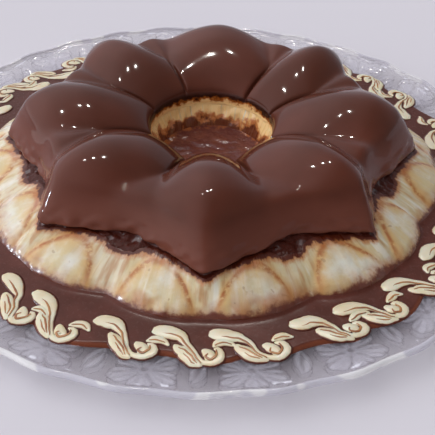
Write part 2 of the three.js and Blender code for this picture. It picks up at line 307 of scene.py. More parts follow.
class Board:
    """A node tree being built."""

    def __init__(self, tree):
        self.tree = tree

    def add(self, kind, settings=None, values=None):
        """A node of that type: its settings first, then its sockets' values or links."""
        node = self.tree.nodes.new(kind)
        for name, value in (settings or {}).items():
            setattr(node, name, value)
        for key, value in (values or {}).items():
            self.feed(node.inputs[key], value)
        return Outputs(self, node)

    def feed(self, socket, value):
        if isinstance(value, Wire):
            self.tree.links.new(value.socket, socket)
        else:
            socket.default_value = value

    def math(self, operation, *values):
        return self.add("ShaderNodeMath", {"operation": operation}, dict(enumerate(values)))[0]

    def vector(self, operation, *values):
        values = dict(enumerate(values))
        return self.add("ShaderNodeVectorMath", {"operation": operation}, values)[0]

    def parts(self, vector):
        return self.add("ShaderNodeSeparateXYZ", None, {0: vector})

    def place(self):
        """Where a point of the piece lies, in metres."""
        return self.add("ShaderNodeTexCoord")["Object"]

    def step(self, value, low, high):
        """0 at low, 1 at high, with soft ends; low may be above high."""
        settings = {"interpolation_type": "SMOOTHSTEP"}
        values = {"Value": value, "From Min": low, "From Max": high}
        return self.add("ShaderNodeMapRange", settings, values)["Result"]

    def noise(self, vector, scale, detail, roughness=0.5):
        values = {"Vector": vector, "Scale": scale, "Detail": detail, "Roughness": roughness}
        return self.add("ShaderNodeTexNoise", None, values)[0]

    def stretch(self, vector, factors):
        return self.vector("MULTIPLY", vector, factors)

    def attribute(self, name):
        return self.add("ShaderNodeAttribute", {"attribute_name": name})["Fac"]

    def colour(self, share, first, second):
        """first where share is 0, second where it is 1."""
        values = {0: share, 6: first, 7: second}
        return self.add("ShaderNodeMix", {"data_type": "RGBA"}, values)[2]

    def over(self, body, share, code):
        """The body with a further colour laid over that share of it."""
        return self.colour(share, body, paint(code))

    def bump(self, height, strength, distance, normal=None):
        values = {"Height": height, "Strength": strength, "Distance": distance * MM}
        if normal is not None:
            values["Normal"] = normal
        return self.add("ShaderNodeBump", None, values)["Normal"]

    def store(self, geometry, name, value):
        values = {"Geometry": geometry, "Name": name, "Value": value}
        return self.add("GeometryNodeStoreNamedAttribute", {"data_type": "FLOAT"}, values)[0]

    def stored(self, name):
        values = {"Name": name}
        return self.add("GeometryNodeInputNamedAttribute", {"data_type": "FLOAT"}, values)[0]

    def end_form(self, body, finish):
        """Ends a geometry tree: nothing is left an instance, and all has its finish."""
        body = self.add("GeometryNodeRealizeInstances", None, {"Geometry": body})[0]
        values = {"Geometry": body, "Material": finish}
        body = self.add("GeometryNodeSetMaterial", None, values)[0]
        self.add("NodeGroupOutput", None, {0: body})


def paint(code):
    """A colour written as red, green and blue in hexadecimal, in linear light."""
    parts = [int(code[i:i + 2], 16) / 255 for i in (0, 2, 4)]
    return (*[p / 12.92 if p <= 0.04045 else ((p + 0.055) / 1.055) ** 2.4 for p in parts], 1.0)


def new_finish(name, make):
    """A material whose Principled sockets make(board) returns, by name."""
    material = bpy.data.materials.new(name)
    material.use_nodes = True
    board = Board(material.node_tree)
    board.tree.nodes.clear()
    shader = board.add("ShaderNodeBsdfPrincipled", None, make(board))
    board.add("ShaderNodeOutputMaterial", None, {"Surface": shader["BSDF"]})
    return material


# ---- Finishes

def up_the_wall(board, place, height_share):
    """Places squeezed onto one round wall, so that patterns run up the slope as streaks."""
    middle = (FLAN_MIDDLE[0] * MM, FLAN_MIDDLE[1] * MM, 0.0)
    offset = board.vector("SUBTRACT", place, middle)
    around = board.vector("NORMALIZE", board.stretch(offset, FLAT))
    around = board.stretch(around, (WALL_RADIUS * MM, WALL_RADIUS * MM, 0.0))
    upward = board.stretch(offset, (0.0, 0.0, height_share))
    return board.vector("ADD", around, upward)


def chocolate_sockets(board):
    place = board.place()
    cloud = board.noise(place, 22.0, 3.0)
    streak = board.noise(board.stretch(place, (1.0, 1.0, 3.0)), 60.0, 3.0)
    wall = board.attribute("wall")
    band = board.attribute("band")
    rim = board.attribute("rim")
    ragged = board.noise(place, 300.0, 3.0, 0.6)
    fringe = board.noise(place, 230.0, 4.0, 0.62)
    # Painted light down the wall, lighter there as the walls' reflection of the bright table, and
    # painted shade toward the band; dark red in the band, and at the hole's rim burnt, then golden.
    body = board.colour(board.step(cloud, 0.35, 0.7), paint("532b1f"), paint("603327"))
    # Painted light: the walls are lighter, standing in for their reflection of the bright table.
    body = board.over(body, wall * (0.4 + streak * 0.5), "764538")
    # Painted shade: the lip's lower part darkens toward the band beneath it.
    body = board.over(body, board.step(band, 0.0, 0.2) * 0.75, "492b21")
    under = board.step(band + (ragged - 0.5) * 0.3, 0.15, 0.45)
    body = board.over(body, under, "44170c")
    burnt = board.step(rim, 9.0, 5.5)
    body = board.over(body, burnt * 0.9, "2e130d")
    reach = rim + (fringe - 0.5) * 9.0
    body = board.over(body, board.step(reach, 4.8, 3.0), "ab5f22")
    body = board.over(body, board.step(reach, 3.4, 1.6), "fbcf90")
    glint = board.step(board.noise(place, 260.0, 1.0), 0.58, 0.64) * under
    rough = 0.06 + wall * 0.03 + burnt * 0.2 + under * 0.3
    swell = board.bump(board.noise(place, 55.0, 2.0), 0.08, 1.5)
    fold = board.noise(board.stretch(place, (1.0, 1.0, 2.0)), 170.0, 3.0, 0.6)
    wet = board.bump(fold * (under + burnt * 0.8), 0.8, 2.0, swell)
    return {"Base Color": body, "Roughness": rough, "IOR": 1.24, "Normal": wet,
            "Coat Weight": glint, "Coat Roughness": 0.06, "Subsurface Weight": 0.06,
            "Subsurface Scale": 0.004}


def custard_sockets(board):
    place = board.place()
    upright = up_the_wall(board, place, 0.15)
    leaning = up_the_wall(board, place, 0.6)
    share = board.attribute("share")
    arch = board.attribute("arch") - 0.22 * share ** PILLOW_CURVE
    inner = board.attribute("inner")
    edge = board.attribute("edge")
    streak = board.noise(upright, 190.0, 4.0, 0.6)
    patch = board.noise(place, 60.0, 4.0, 0.55)
    curd = board.noise(place, 330.0, 4.0, 0.65)
    ragged = board.noise(leaning, 360.0, 4.0, 0.65)
    fine = board.noise(up_the_wall(board, place, 0.35), 300.0, 2.0, 0.5)

    # Cream with curds and streaks, warmer toward the pillows' arches, each drawn in brown.
    body = board.colour(board.step(patch, 0.33, 0.55), paint("dfdccb"), paint("d2c093"))
    body = board.over(body, board.step(streak, 0.48, 0.66) * 0.4, "ebeae2")
    body = board.over(body, board.step(curd, 0.55, 0.75) * 0.3, "cfa86e")
    warm = board.step(arch, 0.62, 0.0) * board.step(arch, -0.5, -0.1)
    body = board.over(body, warm * board.step(patch, 0.2, 0.55) * 0.7, "d8a75c")
    line = board.step(arch, -0.16, -0.02) * board.step(arch, 0.24, 0.0)
    line = line * board.step(share, 0.0, 0.6)
    drawn = line * board.step(curd, 0.3, 0.55) * board.step(patch, 0.3, 0.52)
    body = board.over(body, drawn * 0.9, "aa602a")
    # Streaks between the pillows, then blots and specks.
    between = board.step(arch, -0.02, -0.3)
    body = board.over(body, between * 0.5, "cfbd94")
    body = board.over(body, between * board.step(fine, 0.5, 0.7) * 0.7, "b5804c")
    body = board.over(body, between * board.step(fine, 0.48, 0.3) * 0.7, "e2dfd2")
    blot = board.step(board.noise(place, 48.0, 2.0), 0.55, 0.66) * board.step(share, 0.75, 0.25)
    body = board.over(body, blot * 0.7, "b0703a")
    speck = board.step(board.noise(place, 230.0, 1.0), 0.70, 0.75)
    body = board.over(body, speck * 0.35, "85542e")
    # Sauce soaks in at the foot, and chocolate bleeds down from above.
    outside = 1.0 - inner
    seep = (curd - 0.5) * 0.35 + (patch - 0.5) * 0.7
    foot = board.step(share + seep, 0.50, 0.08) * outside
    body = board.over(body, foot * 0.8, "b27443")
    low = board.step(share + seep * 0.8, 0.27, 0.12) * outside
    body = board.over(body, low, "6e3320")
    drip = (curd - 0.5) * 2.0 + (ragged - 0.5) * 2.0
    glow = board.step(edge + drip, 2.4, 0.9) * outside
    body = board.over(body, glow * 0.85, "b46b2e")
    bleed = board.step(edge + drip, 1.2, 0.7) * outside
    body = board.over(body, bleed, "56200f")
    # In the hole the wall is golden, and stained toward the sauce.
    body = board.over(body, inner * board.step(streak, 0.25, 0.5), "fdd292")
    stain = (board.noise(place, 130.0, 3.0, 0.55) - 0.5) * 22.0 + (curd - 0.5) * 7.0
    toasted = board.step(edge + stain, 3.0, 6.5) * inner
    body = board.over(body, toasted * 0.85, "b8622a")
    soaked = board.step(edge + stain, 6.5, 8.5) * inner
    body = board.over(body, soaked * 0.95, "6c3420")

    wet = board.step(streak, 0.42, 0.62)
    relief = board.bump(curd, 0.2, 0.4)
    relief = board.bump(streak, 0.3, 0.6, relief)
    coat = (0.2 + wet * 0.8) * (1.0 - bleed)
    return {"Base Color": body, "Roughness": 0.42 - wet * 0.2, "Coat Weight": coat,
            "Coat Roughness": 0.17, "IOR": 1.38, "Normal": relief, "Subsurface Weight": 0.3,
            "Subsurface Radius": (1.0, 0.7, 0.45), "Subsurface Scale": 0.004}


def sauce_sockets(board):
    place = board.place()
    thin = board.attribute("thin")
    swirl = board.noise(place, 60.0, 4.0, 0.6)
    grain = board.noise(place, 520.0, 3.0, 0.6)
    body = board.colour(board.step(swirl, 0.35, 0.7), paint("532b22"), paint("60332a"))
    body = board.over(body, board.step(thin + (swirl - 0.5) * 0.5, 0.3, 0.95), "7b422d")
    rough = 0.22 + board.step(grain, 0.4, 0.8) * 0.12
    relief = board.bump(grain, 0.12, 0.35)
    return {"Base Color": body, "Roughness": rough, "IOR": 1.22, "Normal": relief}


def hole_sauce_sockets(board):
    place = board.place()
    swirl = board.noise(place, 90.0, 5.0, 0.65)
    ripple = board.noise(place, 520.0, 2.0, 0.5)
    rim = board.attribute("rim")
    body = board.colour(board.step(swirl, 0.42, 0.66), paint("64332c"), paint("774336"))
    shore = board.step(rim + (swirl - 0.5) * 2.4, 0.8, 1.2)
    body = board.over(body, shore * 0.9, "a9602f")
    beach = board.step(rim + (swirl - 0.5) * 2.4, 1.2, 1.5)
    body = board.over(body, beach, "dca865")
    relief = board.bump(swirl, 0.4, 0.8)
    relief = board.bump(ripple, 0.55, 0.6, relief)
    return {"Base Color": body, "Roughness": 0.16, "IOR": 1.3, "Normal": relief}


def cream_sockets(board):
    place = board.place()
    across = board.attribute("across").math("ABSOLUTE")
    drag = board.noise(place, 300.0, 3.0, 0.6)
    patch = board.noise(place, 110.0, 3.0)
    body = board.colour(board.step(patch, 0.35, 0.7), paint("e7e0c6"), paint("e3d4b0"))
    rim = board.step(across + (drag - 0.5) * 0.3, 0.80, 0.98)
    body = board.over(body, rim * 0.75, "c08a52")
    return {"Base Color": body, "Roughness": 0.3, "IOR": 1.38,
            "Subsurface Weight": 0.15, "Subsurface Scale": 0.002}


def plain_sockets(light, dark):
    """A wet finish that clouds from one colour to the other."""
    def sockets(board):
        place = board.place()
        patch = board.noise(place, 150.0, 3.0)
        body = board.colour(board.step(patch, 0.35, 0.65), paint(light), paint(dark))
        return {"Base Color": body, "Roughness": 0.28, "IOR": 1.38}
    return sockets


def glass_sockets(board):
    place = board.place()
    pressed = board.attribute("pressed")
    rim = board.attribute("rim")
    cloud = board.noise(place, 40.0, 2.0)
    # Painted light on the pressed relief: lighter petals and darker outlines stand in for how the
    # clear glass refracts and reflects light there.
    line = board.step(pressed, 0.03, 0.2) * board.step(pressed, 0.5, 0.25)
    body = board.colour(board.step(cloud, 0.35, 0.7), paint("a29aa2"), paint("aca6b0"))
    body = board.over(body, board.step(pressed, 0.45, 0.95), "d4d1dd")
    body = board.over(body, line * 0.8, "67606a")
    # Painted highlights: the rim band is painted lighter as a lit glass edge, with white glints
    # dashed along it.
    painted_rim_glint = board.step(board.noise(place, 70.0, 1.0), 0.5, 0.58)
    body = board.over(body, rim, "d6d4e0")
    body = board.over(body, rim * painted_rim_glint, "ffffff")
    # Painted glints, scattered along a ring just inside the rim.
    painted_glint_ring = board.attribute("painted_glint_ring") * board.step(board.noise(place, 120.0, 1.0), 0.58, 0.66)
    body = board.over(body, painted_glint_ring, "f4f4ff")
    cover = 0.2 + line * 0.2 + board.step(pressed, 0.45, 0.95) * 0.12 + rim * 0.4 + painted_glint_ring * 0.5
    relief = board.bump(board.noise(place, 90.0, 2.0), 0.06, 0.6)
    return {"Base Color": body, "Roughness": 0.08, "IOR": 1.46, "Alpha": cover, "Normal": relief}


def table_sockets(board):
    place = board.place()
    cloud = board.noise(place, 3.0, 2.0)
    body = board.colour(cloud, paint("dad7de"), paint("e0dde3"))
    return {"Base Color": body, "Roughness": 0.8, "Specular IOR Level": 0.1}


# ---- The flan's form

class Columns:
    """Mesh columns round the flan: each one's petal, side of the keel and shares."""

    def __init__(self):
        petal_part = [(k / PETAL_STEPS, 0.0) for k in range(PETAL_STEPS)]
        ridge_part = [(1.0, k / RIDGE_STEPS) for k in range(RIDGE_STEPS)]
        right = petal_part + ridge_part
        left = [(1.0, 1.0), *reversed(ridge_part[1:]), *reversed(petal_part[1:] + [(1.0, 0.0)])]
        entries = []
        for petal in range(PETALS):
            after = (petal + 1) % PETALS
            ridge = (RIDGE_DRIFT[petal], RIDGE_LEAN[petal], RIDGE_FILL[petal])
            entries += [(petal, PETAL_DRIFT[petal], 1, *shares, *ridge) for shares in right]
            entries += [(petal + 1, PETAL_DRIFT[after], -1, *shares, *ridge) for shares in left]
        entries = np.array(entries, float).T
        petal, drift, self.side, self.petal_share, self.ridge_share = entries[:5]
        ridge, self.lean, self.fill = entries[5:]
        self.keel = petal * 360 / PETALS + drift
        self.half_sector = 180 / PETALS + self.side * (ridge - drift)

    def off_keel(self, wide=FOOT_WIDE, crease_radius=FOOT_CREASE):
        """Degrees from the keel, where the small ridge is that wide and its crease lies there."""
        inward = (LEAN_OUTER - crease_radius) / (LEAN_OUTER - LEAN_INNER)
        middle = self.half_sector + self.side * self.lean * min(max(inward, 0), 1)
        crease = middle - wide
        on_ridge = mix(crease, middle, self.ridge_share)
        return np.where(self.ridge_share > 0, on_ridge, crease * self.petal_share)

    def angle(self, *section):
        return np.radians(self.keel + self.side * self.off_keel(*section) - 90 + FLAN_TURN)


columns = Columns()
foot_angle = columns.angle()


def petal_curve(share, cusp):
    """Height across a petal, from 1 at its keel to 0 at its crease."""
    return mix(1 - share ** 2, (1 - share) ** 2, cusp)


def crown_row(place):
    keel_r, keel_z, crease_r, crease_z, mid_r, mid_z, lift, fold, wide, cusp = section_at(place)
    on_ridge = columns.ridge_share > 0
    rise = np.where(on_ridge, np.sin(columns.ridge_share * math.pi / 2),
                    petal_curve(columns.petal_share, min(max(cusp, 0), 1)))
    radius = mix(crease_r, np.where(on_ridge, mid_r, keel_r), rise)
    crease_z = crease_z + fold * columns.fill
    height = mix(crease_z, np.where(on_ridge, mid_z + (fold + lift) * columns.fill, keel_z), rise)
    return polar(radius, columns.angle(wide, crease_r), height)


def soften(rows, passes):
    """Rounds the creases by averaging each column with its neighbours."""
    for _ in range(passes):
        rows = (np.roll(rows, 1, axis=1) + 2 * rows + np.roll(rows, -1, axis=1)) / 4
    return rows


across_pillow = (columns.off_keel() - PILLOW_CENTRE) / PILLOW_HALF
pillow = 1 - across_pillow ** 2                # 1 in a pillow's middle, negative between pillows


def band_foot():
    """Radius and height of the edge at which chocolate meets custard outside."""
    lip = crown_row(LAST_SECTION)
    rise = ARCH_SHARE * np.sqrt(np.clip(pillow, 0, 1))
    low = mix(BAND_FOOT_CREASE, BAND_FOOT_KEEL, petal_curve(columns.petal_share, 1))
    radius = mix(low, np.linalg.norm(lip[:, :2], axis=1), rise)
    height = mix(BAND_FOOT_LEVEL, lip[:, 2], rise)
    ragged = lumps(polar(radius, foot_angle, 0 * radius), 3.5, seed=7)
    return radius, height + 0.3 * ragged


foot_radius, foot_height = band_foot()
outward = polar(1.0, foot_angle, 0.0)          # from the flan's axis, at each column


def crown_attributes(places, shares, crown):
    """How far each point is part of the dark band and of the wall, and how high it stands over
    the hole's edge, in the order of the mesh's rows."""
    top_of_band = 0.5 * smooth(places, *DARK_BAND)
    band = np.concatenate([top_of_band, 0.5 + 0.5 * smooth(shares, 0, 0.3), [1]])
    wall = np.concatenate([smooth(places, *CROWN_WALL), np.ones(len(shares)), [0]])
    spread = np.ones(len(foot_angle))
    # Outside the rim the height counts for more, so that the rim's colours end there.
    rim = crown[..., 2] - HOLE_EDGE[1] + 8 * smooth(places, *HOLE_RIM)[:, None]
    rim = np.concatenate([
        np.where(places[:, None] < 4, rim, FAR_FROM_RIM),
        np.full((len(shares), len(spread)), FAR_FROM_RIM),
        [0 * spread],
    ])
    return {
        "band": np.outer(band, spread)[::-1],
        "wall": np.outer(wall, spread)[::-1],
        "rim": rim[::-1],
    }


def chocolate_crown(finish):
    places = np.linspace(0, LAST_SECTION, LAST_SECTION * SECTION_STEPS + 1)
    crown = soften(np.array([crown_row(place) for place in places]), CREASE_PASSES)
    mellow = smooth(places, *MELLOW_START) * (1 - smooth(places, *MELLOW_END))
    crown = mix(crown, soften(crown, MELLOW_PASSES), mellow[:, None, None])
    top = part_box("chocolate_layer")[1][2] / MM
    floor = HOLE_EDGE[1]
    crown[..., 2] = floor + (crown[..., 2] - floor) * (top - floor) / (crown[..., 2].max() - floor)

    # The lip is a little uneven, where it left the mould.
    lip = smooth(places, *LIP)[:, None]
    crown += outward * (0.6 * lumps(crown * (1, 1, 2.2), 11.0, seed=3) * lip)[..., None]
    crown[..., 2] += 0.35 * lumps(crown, 7.0, seed=4) * lip

    # The dark band from the lip's underside out to the custard.
    foot = polar(foot_radius, foot_angle, foot_height)
    shares = np.linspace(0, 1, BAND_ROWS)[1:]
    band = np.array([mix(crown[-1], foot, share) for share in shares])
    hollow = np.sin(shares * math.pi)[:, None]
    band += outward * ((0.5 * lumps(band, 4.0, seed=5) - 0.6) * hollow)[..., None]
    band[..., 2] += 0.3 * lumps(band, 4.5, seed=6) * hollow
    hole_edge = polar(HOLE_EDGE[0], foot_angle, HOLE_EDGE[1] + 0 * foot_angle)

    rows = stand_on_plate([*crown, *band, hole_edge])[::-1]
    attributes = crown_attributes(places, shares, crown)
    return ring_piece("chocolate_crown", rows, attributes, finish, 50)


def base_radius():
    """Radius of the custard's wall at its foot, without the pillows."""
    away = columns.off_keel() / columns.half_sector
    return mix(BASE_KEEL, BASE_BETWEEN, away ** BASE_CURVE)


def outer_wall(shares):
    """The custard's wall with its pillows, from the sauce up to the dark band."""
    upward = shares[:, None]
    radius = mix(base_radius(), foot_radius, upward ** WALL_CURVE)
    swell = PILLOW_DEPTH * mix(PILLOW_FOOT, 1, np.clip(3 * upward, 0, 1))
    radius = radius + swell * np.sqrt(np.clip(pillow - upward ** PILLOW_CURVE, 0, None))
    height = mix(SAUCE_LEVEL, foot_height - LAYER_GAP, upward)
    wall = soften(polar(radius, foot_angle, height), 2)
    wall[-1] = polar(foot_radius, foot_angle, foot_height - LAYER_GAP)
    uneven = 0.35 * lumps(wall, 9.0, seed=11)
    uneven += 0.16 * lumps(wall * (1, 1, 0.3), 2.6, seed=12)
    wall += outward * (uneven * np.sin(upward * math.pi) ** 0.5)[..., None]
    return wall, height


def hole_wall():
    """The custard's wall in the hole, from the chocolate down to the floor."""
    rows = []
    for depth in np.linspace(0, 3, HOLE_ROWS):
        part = min(int(depth), 2)
        r, z = (mix(HOLE_WALL[part][k], HOLE_WALL[part + 1][k], depth - part) for k in (0, 1))
        row = polar(r, foot_angle, z - LAYER_GAP + 0 * foot_angle)
        fade = math.sin(min(depth, 2) / 2 * math.pi)
        bump = 0.5 * lumps(row * (1, 1, 0.5), 5.0, seed=13) * fade
        rows.append(row + outward * bump[:, None])
    return rows


def custard_layer(finish):
    shares = np.linspace(0, 1, WALL_ROWS)
    wall, height = outer_wall(shares)
    hole = hole_wall()
    low = polar(np.linalg.norm(wall[0][:, :2], axis=1), foot_angle, FLOOR_LEVEL)
    rows = stand_on_plate([low, *wall, *hole])

    # What the custard's finish reads: the share of the way up, the place on a pillow's arch,
    # whether the wall is the hole's, and how far below the chocolate a point lies.
    spread = np.ones(len(foot_angle))
    inside = np.ones((len(hole), len(spread)))
    up_the_hole = np.linspace(1, 0.3, len(hole))
    drop = np.array([HOLE_EDGE[1] - row[0][2] for row in hole])
    fullness = pillow - shares[:, None] ** PILLOW_CURVE
    attributes = {
        "share": [0 * spread, *np.outer(shares, spread), *np.outer(up_the_hole, spread)],
        "arch": [pillow, *fullness, *-inside],
        "inner": [0 * spread, *np.zeros(height.shape), *inside],
        "edge": [foot_height - WELL_LEVEL, *(foot_height - height), *np.outer(drop, spread)],
    }
    return ring_piece("custard_layer_fine", rows, attributes, finish, 60)


# ---- Sauce and cream

def plate_top(radius):
    outward_share = np.clip((radius - WELL_RADIUS) / FLANGE_WIDTH, 0, 1)
    return WELL_LEVEL + FLANGE_RISE * outward_share ** FLANGE_CURVE


def scroll_turn(scroll):
    """Angle at which a scroll is piped, in radians from the front; they are spaced unevenly."""
    return 2 * math.pi * (scroll + SCROLL_DRIFT * np.sin(SCROLL_BEAT * scroll)) / SCROLLS


def pool_edge(angle):
    """Radius of the pool's edge: it swells round each scroll's outer loop."""
    scrolls = np.linspace(-1, SCROLLS + 1, 40 * SCROLLS)
    turn = np.mod(angle + math.pi / 2, 2 * math.pi)
    phase = np.interp(turn, scroll_turn(scrolls), scrolls)
    scallops = SAUCE_SCALLOP * np.cos(2 * math.pi * (phase - 0.12))
    return SAUCE_RADIUS + scallops + 0.8 * np.sin(5 * angle)


def climb(away, height, width):
    """How far sauce climbs a wall, at points that far away from it."""
    return height * np.exp(-np.clip(away, 0, None) / width)


def sauce_pool(finish):
    angle = np.linspace(0, 2 * math.pi, 960, endpoint=False)
    custard_angle = np.mod(foot_angle, 2 * math.pi)
    order = np.argsort(custard_angle)
    wall = base_radius() + PILLOW_DEPTH * PILLOW_FOOT * np.sqrt(np.clip(pillow, 0, None))
    wall = np.interp(angle, custard_angle[order], wall[order], period=2 * math.pi)
    inner = stand_on_plate(polar(wall - SAUCE_TUCK, angle, 0.0))
    outer = polar(pool_edge(angle), angle, 0.0)
    # Rows lie closer together near the custard's wall and near the edge.
    near_wall = np.linspace(0, 0.2, 10)
    near_edge = np.linspace(0.86, 1, 12)
    shares = np.concatenate([near_wall, np.linspace(0.22, 0.84, 12), near_edge])[:, None]
    rows = inner + (outer - inner) * shares[..., None]
    width = np.linalg.norm(outer - inner, axis=1)
    from_wall = shares * width - SAUCE_TUCK
    from_edge = (1 - shares) * width

    glass = plate_top(np.linalg.norm(rows[..., :2], axis=-1)) + GLASS_GAP
    level = SAUCE_LEVEL - 0.1 + climb(from_wall, 0.9, 1.1) + 0.05 * lumps(rows, 14.0, seed=21)
    roll = np.sqrt(1 - (1 - np.clip(from_edge / SAUCE_ROUND, 0, 1)) ** 2)
    under = rows[1:-1].copy()
    under[..., 2] = glass[1:-1]
    glass = glass + GLASS_GAP
    rows[..., 2] = glass + (level - glass) * roll
    thin = smooth(-from_edge, -SAUCE_THIN, 0.0)
    attributes = {"thin": [*thin[::-1], *thin[1:-1]]}
    return ring_piece("sauce_pool", [*rows[::-1], *under], attributes, finish, 60)


def hole_pool(finish):
    angle = np.linspace(0, 2 * math.pi, 220, endpoint=False)
    wall = HOLE_WALL[2][0]
    radii = np.concatenate([[0.4], np.linspace(1.5, wall + 0.5, 26)])
    top = np.array([polar(r, angle, 0.0) for r in radii])
    climbed = climb(wall - radii, 0.8, 1.2)[:, None]
    top[..., 2] = HOLE_SAUCE_LEVEL - 0.7 + climbed + 0.25 * lumps(top, 8.0, seed=31)
    bottom = polar(radii[-1] - 1.0, angle, FLOOR_LEVEL)
    centre = polar(radii[0], angle, FLOOR_LEVEL)
    rows = stand_on_plate([*top, bottom, centre])[::-1]
    rim = smooth(radii, wall - 9, wall)
    attributes = {"rim": np.outer(np.concatenate([rim, [1, 0]])[::-1], np.ones(len(angle)))}
    return ring_piece("hole_pool", rows, attributes, finish, 60)


# One scroll as piped, in strokes: millimetres along the pool, out from the scrolls' middle
# radius, and half the stroke's width. The veins are thin streaks drawn through it.
CREAM_STROKES = (
    ((-21.2, -7.2, 0.2), (-20.4, -7.6, 1.8), (-17.8, -8.2, 3.2), (-13.0, -7.8, 3.7),
     (-8.6, -6.2, 2.9), (-5.2, -3.4, 1.5), (-2.6, 0.6, 0.9), (-0.6, 4.6, 0.8), (1.8, 7.4, 1.0),
     (5.6, 7.8, 1.5), (8.8, 5.2, 1.8), (8.8, 2.0, 1.5), (6.4, 0.4, 0.9), (5.6, 0.4, 0.1)),
    ((-10.5, -2.0, 0.1), (-10.0, -1.4, 1.1), (-8.0, 0.8, 2.5), (-4.8, 3.8, 3.2), (-1.8, 6.8, 2.2),
     (0.8, 8.6, 0.9), (1.5, 9.1, 0.1)),
    ((1.1, 0.4, 0.1), (1.7, 1.1, 1.3), (3.2, 2.8, 2.4), (4.4, 4.8, 2.4), (4.0, 6.8, 1.3),
     (3.8, 7.5, 0.1)),
    ((5.0, -0.8, 0.2), (8.0, -2.6, 1.9), (11.6, -2.8, 1.8), (14.8, -1.2, 0.5), (15.3, -0.9, 0.1)),
)
VEIN_STROKES = (
    ((-16.4, -7.0, 0.2), (-11.6, -6.4, 0.5), (-6.7, -4.0, 0.5), (-3.8, 0.2, 0.4),
     (-1.6, 4.2, 0.4), (0.8, 7.6, 0.2)),
    ((7.0, 1.4, 0.3), (7.4, 4.0, 0.5), (5.0, 6.6, 0.6), (2.6, 5.2, 0.5), (3.4, 3.4, 0.3)),
    ((-8.8, -0.6, 0.2), (-6.0, 1.4, 0.5), (-3.0, 4.4, 0.5), (-0.8, 7.4, 0.2)),
    ((-6.8, 3.0, 0.2), (-4.2, 5.6, 0.4), (-1.6, 7.6, 0.2)),
    ((6.0, -1.4, 0.2), (9.6, -2.4, 0.45), (13.4, -1.6, 0.2)),
)
# How each is laid: millimetres wider on each side, millimetres over the sauce, and height as
# a share of half the width.
EDGE_LAY = (0.85, -0.05, 0.16)
CREAM_LAY = (0.3, 0.02, 0.32)
VEIN_LAY = (0.0, 0.52, 0.22)


def geometry_board(name, sizes):
    """A geometry tree with named inputs, and a board to build it on."""
    tree = bpy.data.node_groups.new(name, "GeometryNodeTree")
    tree.interface.new_socket("Geometry", in_out="OUTPUT", socket_type="NodeSocketGeometry")
    tree.interface.new_socket("Geometry", in_out="INPUT", socket_type="NodeSocketGeometry")
    kinds = {int: "Int", float: "Float", bpy.types.Material: "Material"}
    for label, value in sizes.items():
        kind = next(kind for sort, kind in kinds.items() if isinstance(value, sort))
        tree.interface.new_socket(label, in_out="INPUT", socket_type="NodeSocket" + kind)
    board = Board(tree)
    return board, board.add("NodeGroupInput")


def grow(name, points, edges, attributes, board, sizes):
    """Runs the tree on a line of points and keeps the result as a plain mesh."""
    piece = new_object(name, new_mesh(name + "_seed", points, edges, [], attributes))
    modifier = piece.modifiers.new("form", "NODES")
    modifier.node_group = board.tree
    identifiers = {item.name: item.identifier for item in board.tree.interface.items_tree
                   if item.in_out == "INPUT"}
    for label, value in sizes.items():
        modifier[identifiers[label]] = value
    graph = bpy.context.evaluated_depsgraph_get()
    grown = bpy.data.meshes.new_from_object(piece.evaluated_get(graph))
    piece.modifiers.remove(modifier)
    piece.data = grown
    grown.name = name
    grown.shade_smooth()
    return piece


def scroll_lines(board, size):
    """One scroll's lines, copied round the pool and pushed a little off their way."""
    index = board.add("GeometryNodeInputIndex")[0]
    turn = index + size["Drift"] * (index * SCROLL_BEAT).math("SINE")
    around = board.add("ShaderNodeCombineXYZ", None, {"Z": 2 * math.pi / SCROLLS * turn})[0]
    points = board.add("GeometryNodePoints", None, {"Count": size["Scrolls"]})[0]
    line = board.add("GeometryNodeMeshToCurve", None, {"Mesh": size["Geometry"]})[0]
    lines = board.add("GeometryNodeInstanceOnPoints", None,
                      {"Points": points, "Instance": line, "Rotation": around})[0]
    lines = board.add("GeometryNodeRealizeInstances", None, {"Geometry": lines})[0]
    lines = board.add("GeometryNodeCurveSplineType", {"spline_type": "CATMULL_ROM"},
                      {"Curve": lines})[0]
    lines = board.add("GeometryNodeResampleCurve", None,
                      {"Curve": lines, "Count": size["Rings"]})[0]
    place = board.stretch(board.add("GeometryNodeInputPosition")[0], FLAT)
    wobble = board.add("ShaderNodeTexNoise", None,
                       {"Vector": place, "Scale": 75.0, "Detail": 2.0})["Color"]
    push = board.stretch(board.vector("SUBTRACT", wobble, (0.5, 0.5, 0.5)), FLAT)
    push = board.add("ShaderNodeVectorMath", {"operation": "SCALE"},
                     {0: push, "Scale": size["Wander"]})[0]
    return board.add("GeometryNodeSetPosition", None, {"Geometry": lines, "Offset": push})[0]


